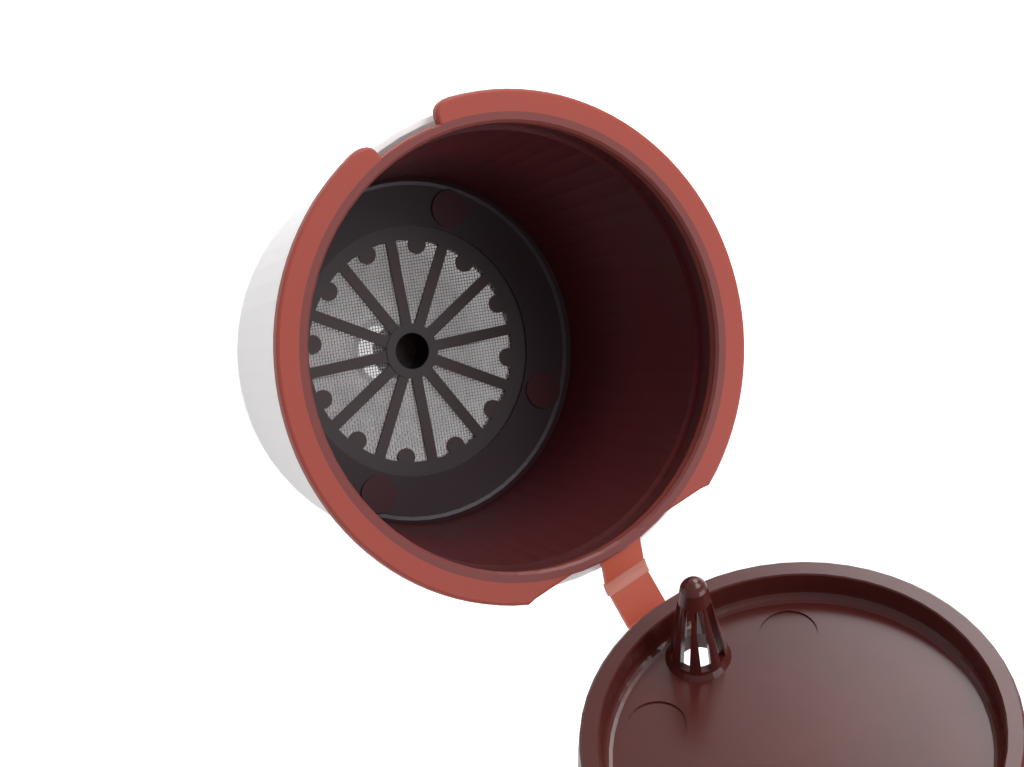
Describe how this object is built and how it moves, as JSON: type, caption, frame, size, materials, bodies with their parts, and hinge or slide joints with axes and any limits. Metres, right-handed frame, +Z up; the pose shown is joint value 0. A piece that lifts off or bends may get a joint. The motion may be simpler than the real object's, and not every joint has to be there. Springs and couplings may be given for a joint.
{
  "type": "refillable coffee pod",
  "caption": "Refillable coffee pod: flanged filter cup with a ribbed woven filter in its floor, an outer cup with a spout, and a hinged lid with a slotted nozzle.",
  "frame": {"origin": "on the surface the pod stands on, under the middle of the open pod's outline; the cup's axis is 18.5 mm towards -X", "axes": "+Z up out of the cup's mouth, +X from the cup towards the hinge and the open lid"},
  "size_m": [0.0896, 0.054, 0.0779],
  "materials": {
    "brown_plastic": "translucent, satin",
    "steel_weave": "woven wire",
    "white_plastic": "satin",
    "lid_plastic": "gloss"
  },
  "bodies": {
    "cup": {"filter_cup": "brown_plastic", "filter_mesh": "steel_weave", "outer_cup": "white_plastic"},
    "lid": {"lid": "lid_plastic"}
  },
  "joints": [
    {"name": "lid_hinge", "type": "hinge", "parent": "cup", "child": "lid", "pos_m": [0.00974, 0, 0.0381], "axis": [0, 1, 0], "range_deg": [-129, 50]}
  ]
}
